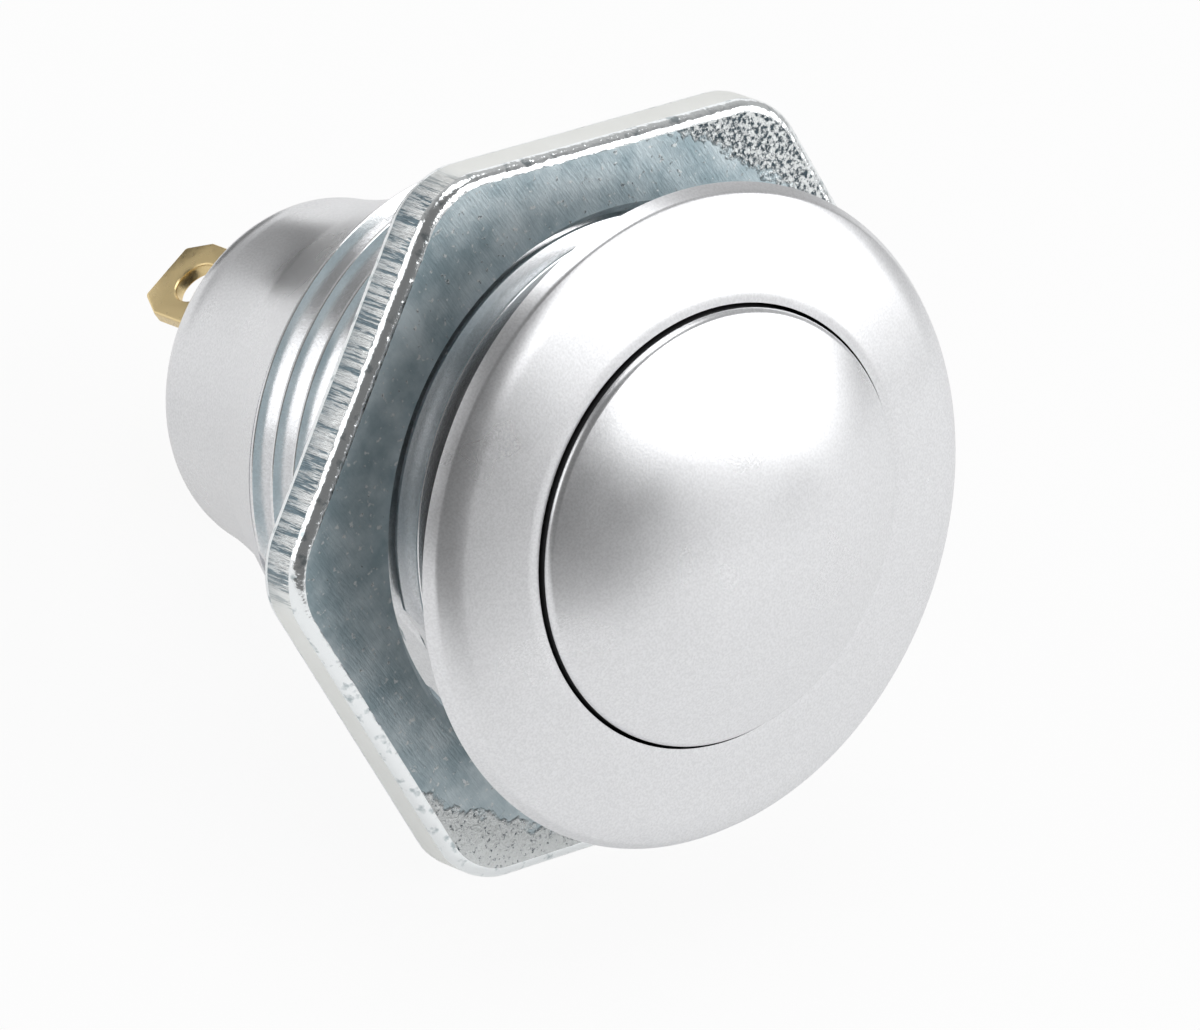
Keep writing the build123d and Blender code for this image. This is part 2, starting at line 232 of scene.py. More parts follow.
# %% [markdown]
# The world is the rest of the room. Metal needs something dark to mirror as well as something
# bright, so the room is darker on the photographer's side. Behind the switch the camera sees white.

# %% World
RIGHT, UP, BACK = camera_axes()
WORLD_COLOUR = (1.0, 1.0, 1.0, 1)
WORLD_BEHIND, WORLD_IN_FRONT = 0.45, 0.17
DARKENS_FROM, DARKENS_TO = -0.2, 0.55
WORLD_WHITE_SEEN = 1.0


def make_world():
    """A room that is darker on the photographer's side, with white behind what the camera sees."""
    world = bpy.data.worlds.new("studio")
    world.use_nodes = True
    net = world.node_tree
    background = net.nodes["Background"]
    background.inputs["Color"].default_value = WORLD_COLOUR
    direction = net.nodes.new("ShaderNodeTexCoord").outputs["Generated"]
    front = vector_maths(net, "DOT_PRODUCT", direction, BACK)
    room = ramp(net, front, DARKENS_FROM, DARKENS_TO, WORLD_BEHIND, WORLD_IN_FRONT)
    white = white_share(net, WORLD_WHITE_SEEN, WORLD_IN_FRONT)
    net.links.new(maths(net, "MAXIMUM", room, white), background.inputs["Strength"])
    return world


bpy.context.scene.world = make_world()
bpy.context.scene.view_settings.view_transform = "Standard"
print("room's strength:", WORLD_BEHIND, "behind the switch and", WORLD_IN_FRONT, "in front of it")

# %% [markdown]
# The lights are placed by the camera's own directions once, and then stay where they are. A large
# box at the right makes the bright crown of the bezel and the button, boxes at the left, above and
# behind draw the edges, and a weak one low at the right fills the dome. A small dark card behind
# the switch gives the top of the rear shell its shade.

# %% Soft lights
# Each lamp has a direction in the camera's right, up and backward axes, then a distance, a width
# and a height in metres, and a power in watts.
LAMPS = {
    "side_box": ((0.92, 0.2, 0.33), 0.30, 0.19, 0.33, 0.45),
    "left_box": ((-0.8, 0.25, 0.45), 0.32, 0.22, 0.22, 0.22),
    "top_box": ((0.1, 0.9, 0.35), 0.36, 0.26, 0.2, 0.35),
    "low_box": ((0.86, -0.36, 0.26), 0.30, 0.14, 0.15, 0.03),
    "back_box": ((0.0, 0.78, -0.62), 0.34, 0.3, 0.14, 0.07),
}


def by_camera(right, up, back):
    """A direction or a place that is given in the camera's own axes."""
    return RIGHT * right + UP * up + BACK * back


def soft_light(name, direction, distance, width, height, power):
    """A large rectangular light that faces the switch, with its height along the line of sight."""
    data = bpy.data.lights.new(name, "AREA")
    data.shape = "RECTANGLE"
    data.size = width
    data.size_y = height
    data.energy = power
    lamp = bpy.data.objects.new(name, data)
    away = direction.normalized()
    across = BACK.cross(away).normalized()
    turn = Matrix((across, away.cross(across), away)).transposed().to_4x4()
    lamp.matrix_world = Matrix.Translation(away * distance) @ turn
    bpy.context.scene.collection.objects.link(lamp)


for lamp_name, (lamp_way, *lamp_sizes) in LAMPS.items():
    soft_light(lamp_name, by_camera(*lamp_way), *lamp_sizes)
print("lamps:", ", ".join(LAMPS))

# %% Shade card
SHELL_TOP = by_camera(-11.9, 7.7, -7.7) * mm
CARD_WAY = by_camera(-0.37, 0.45, -0.81).normalized()
CARD_DISTANCE = 20 * mm
CARD_HALF = 4.0 * mm
CARD_COLOUR = (0.14, 0.14, 0.14, 1)


def card_material():
    material = bpy.data.materials.new("dark_card")
    material.use_nodes = True
    shader = material.node_tree.nodes["Principled BSDF"]
    shader.inputs["Base Color"].default_value = CARD_COLOUR
    return material


card_place = facing(SHELL_TOP + CARD_WAY * CARD_DISTANCE, CARD_WAY)
card = stage_square("shade_card", CARD_HALF, card_place, card_material())
card.visible_camera = False
card.visible_shadow = False
card.visible_diffuse = False
print("card stands", round(CARD_DISTANCE / mm, 1), "mm behind the shell's top")

# %% [markdown]
# ## Turned pieces
#
# Most of this switch comes off a lathe, and a lathe is what bmesh's spin is: a half-section goes
# round the axis. The half-section is drawn as a chain of corners. A curved stretch is spun too, from
# one vertex about the arc's own centre. Corners get their small radii afterwards with bevel.

# %% Half-sections
LATHE_STEPS = 256
FULL_TURN = 2 * math.pi
MERGE_DISTANCE = 0.001 * mm


def join_verts(bm, *verts):
    for pair in zip(verts, verts[1:]):
        bm.edges.new(pair)


def chain(bm, corners):
    """Vertices of a half-section in the XZ plane, joined one after another."""
    verts = [bm.verts.new((radius, 0, level)) for radius, level in corners]
    join_verts(bm, *verts)
    return verts


def arc_from(bm, vert, centre, angle, steps):
    """Spins one vertex about a centre in the section's plane, and gives the last new vertex."""
    made = bmesh.ops.spin(
        bm,
        geom=[vert],
        cent=(centre[0], 0, centre[1]),
        axis=(0, -1, 0),
        dvec=(0, 0, 0),
        angle=angle,
        steps=steps,
        use_merge=False,
    )
    return made["geom_last"][0]


# %% Lathe


def spin(bm, geometry, steps=LATHE_STEPS, angle=FULL_TURN, rise=0.0, closed=False):
    """Spins geometry round the switch's axis, with or without a rise, and gives its new end."""
    made = bmesh.ops.spin(
        bm,
        geom=geometry,
        cent=(0, 0, 0),
        axis=(0, 0, 1),
        dvec=(0, 0, rise / steps),
        angle=angle,
        steps=steps,
        use_merge=closed,
    )
    return made["geom_last"]


def point_outwards(bm):
    bmesh.ops.recalc_face_normals(bm, faces=bm.faces[:])


def merge_doubles(bm):
    bmesh.ops.remove_doubles(bm, verts=bm.verts[:], dist=MERGE_DISTANCE)


def spin_section(bm, steps=LATHE_STEPS):
    """Turns everything in the bmesh once round the axis, and closes seam and poles."""
    spin(bm, bm.verts[:] + bm.edges[:], steps, closed=True)
    merge_doubles(bm)
    point_outwards(bm)


# %% Bevels
NEAR_RING = 0.01 * mm


def bevel(bm, geometry, size, segments, affect="EDGES", clamp=True):
    """A bevel as in the editor: what bmesh would set otherwise is written out. Gives its faces."""
    made = bmesh.ops.bevel(
        bm,
        geom=geometry,
        offset=size,
        offset_type="OFFSET",
        segments=segments,
        profile=0.5,
        affect=affect,
        clamp_overlap=clamp,
        material=-1,
    )
    return made["faces"]


def round_ring(bm, radius, level, size, segments=3):
    """Bevels the ring edge that was spun from the corner at a radius and level."""

    def on_ring(vert):
        far = max(abs(vert.co.xy.length - radius), abs(vert.co.z - level))
        return far < NEAR_RING

    bevel(bm, [edge for edge in bm.edges if all(on_ring(v) for v in edge.verts)], size, segments)


# %% Finishing a piece
SHARP_ANGLE = math.radians(28)


def open_edges(bm):
    """How many edges don't join two faces: none, on a closed shape."""
    return sum(1 for edge in bm.edges if len(edge.link_faces) != 2)


def finished(bm, name, materials, body, nodes):
    """Makes the object, marks its sharp edges, hangs it on its body's empty and hides the solids it
    replaces.
    """
    for face in bm.faces:
        face.smooth = True
    for edge in bm.edges:
        edge.smooth = len(edge.link_faces) == 2 and edge.calc_face_angle(0) < SHARP_ANGLE
    print(name, len(bm.faces), "faces,", open_edges(bm), "open or crowded edges")
    mesh = bpy.data.meshes.new(name)
    bm.to_mesh(mesh)
    bm.free()
    for material in materials:
        mesh.materials.append(material)
    piece = bpy.data.objects.new(name, mesh)
    bpy.context.scene.collection.objects.link(piece)
    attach(piece, body)
    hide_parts(*nodes)
    return piece


# %% [markdown]
# ## Finishes
#
# Bead blasting leaves aluminium with a skin of tiny dimples, and anodising keeps it pale and even.
# The shader is metal with a middling roughness, a very fine bump and a faint speckle for the dimples,
# and a faint cloud in the roughness, so the sheen isn't the same everywhere. The thread is cut after
# the blasting, so it is the same metal with a brighter finish.

# %% Material helpers


def new_material(name, metallic):
    """A material with one Principled shader, and the network that the shader stands in."""
    material = bpy.data.materials.new(name)
    material.use_nodes = True
    net = material.node_tree
    shader = net.nodes["Principled BSDF"]
    shader.inputs["Metallic"].default_value = metallic
    return material, net, shader


def object_point(net):
    return net.nodes.new("ShaderNodeTexCoord").outputs["Object"]


def noise(net, point, per_mm, detail=2.0, roughness=0.5):
    """Noise with a number of blobs for each millimetre."""
    texture = net.nodes.new("ShaderNodeTexNoise")
    texture.inputs["Scale"].default_value = per_mm / mm
    texture.inputs["Detail"].default_value = detail
    texture.inputs["Roughness"].default_value = roughness
    net.links.new(point, texture.inputs["Vector"])
    return texture.outputs["Fac"]


def mixed(net, value, low, high):
    """Mixes two colours by a value. Each is a red, green and blue, or another node's output."""
    mix = net.nodes.new("ShaderNodeMix")
    mix.data_type = "RGBA"
    net.links.new(value, mix.inputs[0])
    for socket, colour in ((mix.inputs[6], low), (mix.inputs[7], high)):
        wired = isinstance(colour, bpy.types.NodeSocket)
        feed(net, socket, colour if wired else (*colour, 1))
    return mix.outputs[2]


def bump(net, height, depth_mm, below=None):
    node = net.nodes.new("ShaderNodeBump")
    node.inputs["Distance"].default_value = depth_mm * mm
    node.inputs["Strength"].default_value = 1.0
    net.links.new(height, node.inputs["Height"])
    if below is not None:
        net.links.new(below, node.inputs["Normal"])
    return node.outputs["Normal"]


# %% Satin aluminium
GRAIN_PER_MM, CLOUD_PER_MM = 14, 0.35
GRAIN_DULL, GRAIN_PALE = 0.93, 1.05
GRAIN_DEPTH_MM = 0.0016
SHEEN_SPREAD = 0.04


def satin_aluminium(name, colour, roughness):
    material, net, shader = new_material(name, 1.0)
    point = object_point(net)
    grain = noise(net, point, GRAIN_PER_MM)
    cloud = noise(net, point, CLOUD_PER_MM)
    dull = [part * GRAIN_DULL for part in colour]
    pale = [min(1.0, part * GRAIN_PALE) for part in colour]
    speckled = mixed(net, ramp(net, grain, 0.35, 0.65, 0, 1), dull, pale)
    sheen = ramp(net, cloud, 0.3, 0.7, roughness - SHEEN_SPREAD, roughness + SHEEN_SPREAD)
    net.links.new(speckled, shader.inputs["Base Color"])
    net.links.new(sheen, shader.inputs["Roughness"])
    net.links.new(bump(net, grain, GRAIN_DEPTH_MM), shader.inputs["Normal"])
    return material


SATIN = satin_aluminium("satin_aluminium", (0.84, 0.845, 0.86), 0.3)
TURNED = satin_aluminium("turned_aluminium", (0.86, 0.865, 0.875), 0.2)
print("aluminium:", SATIN.name, "and", TURNED.name)

# %% [markdown]
# The smaller pieces have one colour each, with a fine speck in their roughness and their surface.

# %% Plain metals and plastics


def plain_finish(name, metallic, colour, roughness, speck, smoother, rougher, depth_mm):
    """One colour, with a speck that makes some spots smoother and others rougher."""
    material, net, shader = new_material(name, metallic)
    shader.inputs["Base Color"].default_value = (*colour, 1)
    dots = noise(net, object_point(net), *speck)
    uneven = ramp(net, dots, 0.3, 0.7, roughness - smoother, roughness + rougher)
    net.links.new(uneven, shader.inputs["Roughness"])
    net.links.new(bump(net, dots, depth_mm), shader.inputs["Normal"])
    return material


def plain_metal(name, colour, roughness, per_mm):
    return plain_finish(name, 1.0, colour, roughness, (per_mm, 3.0), 0.06, 0.08, 0.003)


def plain_plastic(name, colour, roughness, per_mm):
    return plain_finish(name, 0.0, colour, roughness, (per_mm, 2.0), 0.05, 0.05, 0.004)


GOLD = plain_metal("gold_plate", (0.95, 0.75, 0.40), 0.32, 6)
STEEL = plain_metal("spring_steel", (0.66, 0.67, 0.68), 0.3, 5)
SILVER = plain_metal("contact_silver", (0.86, 0.86, 0.83), 0.25, 5)
BRONZE = plain_metal("bearing_bronze", (0.70, 0.48, 0.26), 0.35, 5)
COPPER = plain_metal("contact_strip", (0.82, 0.56, 0.36), 0.3, 5)
RUBBER = plain_plastic("nitrile_rubber", (0.025, 0.025, 0.026), 0.55, 6)
NATURAL = plain_plastic("natural_acetal", (0.80, 0.77, 0.68), 0.4, 5)
BLACK = plain_plastic("black_moulding", (0.035, 0.035, 0.037), 0.45, 5)
RESIN = plain_plastic("potting_resin", (0.03, 0.03, 0.034), 0.18, 1)
# A near-black finish for the sliding walls: painted shade, so the gap between button and bezel reads
# as a black line.
GAP_SHADE_PAINT = plain_plastic("painted_gap_shade", (0.02, 0.02, 0.022), 0.6, 3)
print("plain finishes:", [m.name for m in (GOLD, STEEL, SILVER, BRONZE, COPPER, RUBBER, RESIN)])

# %% [markdown]
# The nut is zinc with a blue passivation. Its faced front is cloudy, with fine scratches and a few
# bright flecks. Outside the facing cut, the bar's skin is left at two of the corners, and its crystals
# throw hard little highlights between dark pits.

# %% Where the facing cut ends
SHEARED_SIDE = math.radians(205)
SIDE_WAY = (math.cos(SHEARED_SIDE), math.sin(SHEARED_SIDE), 0)
IN_MM = (1 / mm, 1 / mm, 0)
FACING_OFFSET = 0.19
SKIN_FROM_MM, SKIN_FULL_MM = 10.3, 10.5


def stretched(net, point, scale):
    """The point with each axis scaled, so that noise on it becomes streaks."""
    mapping = net.nodes.new("ShaderNodeMapping")
    mapping.inputs["Scale"].default_value = scale
    net.links.new(point, mapping.inputs["Vector"])
    return mapping.outputs["Vector"]


def along(net, point, axis):
    """How far the point lies along one axis."""
    parts = net.nodes.new("ShaderNodeSeparateXYZ")
    net.links.new(point, parts.inputs[0])
    return parts.outputs[axis]


def outside_facing(net, point):
    """1 where the cut left the bar's skin: beyond a circle that reaches further on one side."""
    flat_point = stretched(net, point, IN_MM)
    radius = vector_maths(net, "LENGTH", flat_point)
    toward = maths(net, "MAXIMUM", vector_maths(net, "DOT_PRODUCT", flat_point, SIDE_WAY), 0.0)
    reach = maths(net, "SUBTRACT", radius, maths(net, "MULTIPLY", toward, FACING_OFFSET))
    ragged = maths(net, "ADD", reach, noise(net, point, 3.0, 3.0))
    return ramp(net, ragged, SKIN_FROM_MM, SKIN_FULL_MM, 0, 1)


# %% Faced zinc
FACED_DARK, FACED_PALE = (0.42, 0.54, 0.59), (0.74, 0.84, 0.88)
PIT, CRYSTAL = (0.05, 0.08, 0.10), (0.97, 1.0, 1.0)
SCRATCH_DEPTH_MM, CRYSTAL_DEPTH_MM = 0.012, 0.10
CRYSTALS_SHINE = 0.25


def crystal_colour(net, point):
    """Bright crystals with dark pits between them, and more of the pits towards one end."""
    more_pits = ramp(net, along(net, point, "Y"), -8 * mm, 8 * mm, 0.02, -0.08)
    grit = maths(net, "ADD", noise(net, point, 7.0, 4.0, 0.75), more_pits)
    return mixed(net, ramp(net, grit, 0.37, 0.46, 0, 1), PIT, CRYSTAL)


def zinc_plate():
    """Faced zinc with scratches and flecks, and crystals at the unfaced corners."""
    material, net, shader = new_material("zinc_plate", 0.5)
    point = object_point(net)
    skin = outside_facing(net, point)
    cloud = noise(net, point, 0.8, 4.0, 0.6)
    faced = mixed(net, ramp(net, cloud, 0.35, 0.65, 0, 1), FACED_DARK, FACED_PALE)
    flecks = ramp(net, noise(net, point, 5.0, 3.0), 0.62, 0.68, 0, 0.8)
    bright = maths(net, "MAXIMUM", skin, flecks)
    net.links.new(mixed(net, bright, faced, crystal_colour(net, point)), shader.inputs["Base Color"])
    smoother = maths(net, "MULTIPLY", skin, CRYSTALS_SHINE)
    sheen = maths(net, "SUBTRACT", ramp(net, cloud, 0.3, 0.7, 0.40, 0.5), smoother)
    net.links.new(sheen, shader.inputs["Roughness"])
    scratches = noise(net, stretched(net, point, (1.0, 6.0, 1.0)), 2.0, 4.0)
    fine = bump(net, scratches, SCRATCH_DEPTH_MM)
    crystals = noise(net, point, 5.0, 4.0, 0.7)
    coarse = maths(net, "MULTIPLY", crystals, ramp(net, skin, 0, 1, 0.12, 1))
    net.links.new(bump(net, coarse, CRYSTAL_DEPTH_MM, fine), shader.inputs["Normal"])
    return material


ZINC = zinc_plate()
print("nut's ends:", ZINC.name)

# %% [markdown]
# The nut's sides have shear marks that run from front to back: noise that is squeezed across and
# stretched along the axis gives them. The edges are rolled and rubbed bright, so they have a finish
# of their own, nearly a mirror.

# %% Sheared sides and burnished edges
TORN_BRIGHT, TORN_DARK = (0.98, 1.0, 1.0), (0.22, 0.29, 0.33)
PLAIN_DULL, PLAIN_PALE = (0.88, 0.89, 0.86), (0.95, 0.96, 0.94)
DENT, BURNISHED = (0.5, 0.56, 0.58), (0.96, 0.99, 1.0)
SIDE_FROM_MM, SIDE_FULL_MM = 9.4, 10.3
MARK_STRETCH = (1.0, 1.0, 0.06)
SKIN_DEPTH_MM, MARK_DEPTH_MM, DENT_DEPTH_MM = 0.006, 0.28, 0.05


def torn_share(net, point, marks):
    """Where the shear tore the metal: nicks everywhere, and more of it towards the back."""
    toward_back = ramp(net, along(net, point, "Z"), -3.5 * mm, -4.3 * mm, 0, 1)
    torn = maths(net, "MULTIPLY", ramp(net, marks, 0.4, 0.6, 0.3, 1.0), toward_back)
    return maths(net, "MAXIMUM", torn, ramp(net, marks, 0.51, 0.56, 0, 1.0))


def sheared_zinc():
    """The nut's sides, with marks that run from front to back on the two sheared sides."""
    material, net, shader = new_material("sheared_zinc", 1.0)
    point = object_point(net)
    across = vector_maths(net, "DOT_PRODUCT", stretched(net, point, IN_MM), SIDE_WAY)
    across = maths(net, "ABSOLUTE", across, 0.0)
    on_side = ramp(net, across, SIDE_FROM_MM, SIDE_FULL_MM, 0, 1)
    marks = noise(net, stretched(net, point, MARK_STRETCH), 5.0, 4.0, 0.75)
    patches = noise(net, point, 1.0, 2.0)
    sheared = mixed(net, torn_share(net, point, marks), TORN_BRIGHT, TORN_DARK)
    plain = mixed(net, patches, PLAIN_DULL, PLAIN_PALE)
    net.links.new(mixed(net, on_side, plain, sheared), shader.inputs["Base Color"])
    net.links.new(ramp(net, on_side, 0, 1, 0.38, 0.24), shader.inputs["Roughness"])
    height = maths(net, "MULTIPLY", maths(net, "MULTIPLY", marks, on_side), patches)
    skin = bump(net, noise(net, point, 5.0, 3.0), SKIN_DEPTH_MM)
    net.links.new(bump(net, height, MARK_DEPTH_MM, skin), shader.inputs["Normal"])
    return material


def burnished_zinc():
    """The nut's rolled edges, which rub against other nuts in the barrel and come out bright."""
    material, net, shader = new_material("burnished_zinc", 1.0)
    shader.inputs["Roughness"].default_value = 0.17
    dents = noise(net, object_point(net), 2.2, 3.0)
    rubbed = mixed(net, ramp(net, dents, 0.3, 0.42, 0, 1), DENT, BURNISHED)
    net.links.new(rubbed, shader.inputs["Base Color"])
    net.links.new(bump(net, dents, DENT_DEPTH_MM), shader.inputs["Normal"])
    return material


SHEARED_ZINC = sheared_zinc()
BURNISHED_ZINC = burnished_zinc()
print("nut's sides and edges:", SHEARED_ZINC.name, "and", BURNISHED_ZINC.name)

# %% [markdown]
# ## The bezel and its threaded barrel
#
# The bezel and the barrel are one turned piece. The plain surfaces are one spin. The thread is a
# real helix: a short zigzag of crests and roots is spun with a rise of one pitch for each turn,
# trimmed by two planes, and joined to the barrel by flat shoulders. Last, a milling cutter has run
# along one side, so everything beyond a plane is pressed onto that plane.

# %% Sizes of the bezel and barrel
bezel_low, bezel_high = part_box("bezel_barrel")
BEZEL_TOP, BARREL_END = bezel_high.z, bezel_low.z
HOLE_R = 6.45 * mm
RIM_R, RIM_FOOT_R = 9.67 * mm, 9.6 * mm
RIM_FOOT_HEIGHT = 0.06 * mm
CROWN_ARC_R, EDGE_ARC_R = 65 * mm, 2.33 * mm
CROWN_TILTS = [math.radians(tilt) for tilt in (10.5, 12.5, 34)]
RIM_ROUND, HOLE_ROUND = 0.06 * mm, 0.025 * mm
THREAD_R = 8.0 * mm
PITCH = 0.9525 * mm
ROOT_R = THREAD_R - 0.6134 * PITCH
CREST_LEVEL, CREST_SIDE = -10.0 * mm, 205 / 360
CREST_ROUND_IN, CREST_ROUND_ALONG = 0.02 * mm, 0.03 * mm
NECK_R, NECK_END = 7.3 * mm, -1.6 * mm
RECESS_R, RECESS_DEPTH = 8.6 * mm, 0.15 * mm
FLAT_DISTANCE = 7.33 * mm
POCKET_FLOOR = -3.2 * mm
WEB_HOLE_R, WEB_BACK = 3.2 * mm, -4.6 * mm
REAR_BORE_R, SHELL_SEAT = 6.2 * mm, -8.9 * mm
TAIL_R, END_RING_R = 6.6 * mm, 7.2 * mm
print("bezel's top and barrel's end in mm:", round(BEZEL_TOP / mm, 2), round(BARREL_END / mm, 2))

# %% Thread
AT_LEVEL = 0.002 * mm


def lies_at(part, level):
    """True for an edge or a face that lies in one level plane."""
    return all(abs(v.co.z - level) < AT_LEVEL for v in part.verts)


def thread_zigzag(top):
    """Corners of the thread's half-section, from below the barrel's end to above a level."""
    crest, flank = PITCH / 8, PITCH * 5 / 16
    corners = []
    level = CREST_LEVEL - flank - crest / 2 - CREST_SIDE * PITCH - 2 * PITCH
    while level < top + PITCH:
        corners += [
            (ROOT_R, level),
            (THREAD_R - CREST_ROUND_IN, level + flank),
            (THREAD_R, level + flank + CREST_ROUND_ALONG),
            (THREAD_R, level + flank + crest - CREST_ROUND_ALONG),
            (THREAD_R - CREST_ROUND_IN, level + flank + crest),
            (ROOT_R, level + 2 * flank + crest),
        ]
        level += PITCH
    return corners


def helical_thread(top, bottom):
    """A mesh with a one-start thread between two levels, open at both ends."""
    bm = bmesh.new()
    verts = chain(bm, thread_zigzag(top))
    spin(bm, verts + bm.edges[:], rise=PITCH)
    merge_doubles(bm)
    for level, side in ((top, 1), (bottom, -1)):
        bmesh.ops.bisect_plane(
            bm,
            geom=bm.verts[:] + bm.edges[:] + bm.faces[:],
            plane_co=(0, 0, level),
            plane_no=(0, 0, side),
            clear_outer=True,
        )
    mesh = bpy.data.meshes.new("thread_stage")
    bm.to_mesh(mesh)
    bm.free()
    return mesh


thread_mesh = helical_thread(NECK_END, BARREL_END)
print("thread:", len(thread_mesh.polygons), "faces")

# %% Turned body


def bend_on(bm, vert, radius, tilt, new_tilt, steps):
    """Goes on outwards from a vertex along an arc, from one tilt of the surface to another."""
    centre = (vert.co.x - radius * math.sin(tilt), vert.co.z - radius * math.cos(tilt))
    return arc_from(bm, vert, centre, tilt - new_tilt, steps)


def barrel_body(bm):
    """Bezel, neck, button hole, web and tail bore. The thread's zone stays open."""
    under = [
        (NECK_R, NECK_END),
        (NECK_R, RECESS_DEPTH),
        (RECESS_R, RECESS_DEPTH),
        (RECESS_R, 0),
        (RIM_FOOT_R, 0),
        (RIM_R, RIM_FOOT_HEIGHT),
    ]
    inside = [
        (HOLE_R, BEZEL_TOP),
        (HOLE_R, POCKET_FLOOR),
        (WEB_HOLE_R, POCKET_FLOOR),
        (WEB_HOLE_R, WEB_BACK),
        (REAR_BORE_R, WEB_BACK),
        (REAR_BORE_R, SHELL_SEAT),
        (TAIL_R, SHELL_SEAT),
        (TAIL_R, BARREL_END),
        (END_RING_R, BARREL_END),
    ]
    rim_foot = chain(bm, under)[-1]
    bore_edge = chain(bm, inside)[0]
    crown_end = bend_on(bm, bore_edge, CROWN_ARC_R, CROWN_TILTS[0], CROWN_TILTS[1], 6)
    rim_top = bend_on(bm, crown_end, EDGE_ARC_R, CROWN_TILTS[1], CROWN_TILTS[2], 12)
    join_verts(bm, rim_top, rim_foot)
    rim_corner = (rim_top.co.x, rim_top.co.z)
    print("rim's top corner in mm:", [round(size / mm, 2) for size in rim_corner])
    spin_section(bm)
    round_ring(bm, *rim_corner, RIM_ROUND)
    round_ring(bm, HOLE_R, BEZEL_TOP, HOLE_ROUND, 2)


# %% Milled flat


def once_each(parts):
    """Each part once and in order, so that every run gives the same mesh."""
    return list(dict.fromkeys(parts))


def mill_flat(bm):
    """Presses the thread's surface beyond the flat's plane onto that plane."""
    behind_neck = NECK_END + AT_LEVEL
    zone = [f for f in bm.faces if all(v.co.z < behind_neck for v in f.verts)]
    verts = once_each(v for f in zone for v in f.verts)
    edges = once_each(e for f in zone for e in f.edges)
    distance, outwards = (0, -FLAT_DISTANCE, 0), (0, -1, 0)
    bmesh.ops.bisect_plane(bm, geom=verts + edges + zone, plane_co=distance, plane_no=outwards)
    for vert in bm.verts:
        if vert.co.z < behind_neck and vert.co.y < -FLAT_DISTANCE:
            vert.co.y = -FLAT_DISTANCE
    bmesh.ops.dissolve_degenerate(bm, edges=bm.edges[:], dist=MERGE_DISTANCE)


# %% Barrel
UPRIGHT = 0.1
GAP_SHADE_SLOT, TURNED_SLOT = 1, 2


def paint_gap_shade(bm, radius):
    """Gives the second material to an upright wall at a radius: painted shade, so the gap reads dark.
    """
    for face in bm.faces:
        at_wall = abs(face.calc_center_median().xy.length - radius) < NEAR_RING
        if at_wall and abs(face.normal.z) < UPRIGHT:
            face.material_index = GAP_SHADE_SLOT


def turn_thread(bm):
    """Gives the third material to what lies outside the thread's root, behind the bezel."""
    for face in bm.faces:
        middle = face.calc_center_median()
        if middle.z < 0 and middle.xy.length > ROOT_R - 0.1 * mm:
            face.material_index = TURNED_SLOT


def make_barrel():
    bm = bmesh.new()
    barrel_body(bm)
    bm.from_mesh(thread_mesh)
    for level in (NECK_END, BARREL_END):
        shoulder = [e for e in bm.edges if e.is_boundary and lies_at(e, level)]
        bmesh.ops.triangle_fill(bm, edges=shoulder, use_beauty=True, use_dissolve=False)
    point_outwards(bm)
    mill_flat(bm)
    # The hole's wall gets painted shade, a near-black finish.
    paint_gap_shade(bm, HOLE_R)
    turn_thread(bm)
    finishes = [SATIN, GAP_SHADE_PAINT, TURNED]
    return finished(
        bm, "bezel_and_barrel", finishes, "housing", ["bezel_barrel"]
    )


make_barrel()

# %% [markdown]
# ## The button
#
# The button is a shallow dome with a rounded shoulder. The dome is an arc spun from its top about
# the dome's centre, the shoulder a bevel on the ring where dome and side meet. Its side wall and the
# bezel's hole wall carry painted shade, a near-black finish, so the ring between them reads as a black
# line.

# %% Button's sizes
button_low, button_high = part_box("button")
BUTTON_R, BUTTON_TOP = button_high.x, button_high.z
BUTTON_EDGE = 1.46 * mm
SHOULDER_ROUND = 0.95 * mm
SHOULDER_RUN = SHOULDER_ROUND * math.tan(math.radians(33))
WALL_CORNER_LEVEL = 0.75 * mm
SEAL_GROOVE_R = 5.63 * mm
SEAL_GROOVE_TOP, SEAL_GROOVE_BOTTOM = -0.35 * mm, -1.25 * mm
SKIRT_LEVEL = -1.6 * mm
POCKET_R, POCKET_ROOF = 4.3 * mm, 0.8 * mm
STEM_R, STEM_END = 2.0 * mm, -6.29 * mm
CLIP_GROOVE_R = 1.5 * mm
CLIP_GROOVE_TOP, CLIP_GROOVE_BOTTOM = -5.1 * mm, -5.59 * mm
SPIGOT_R = 1.3 * mm
print("button's radius and top in mm:", round(BUTTON_R / mm, 2), round(BUTTON_TOP / mm, 2))

# %% Button


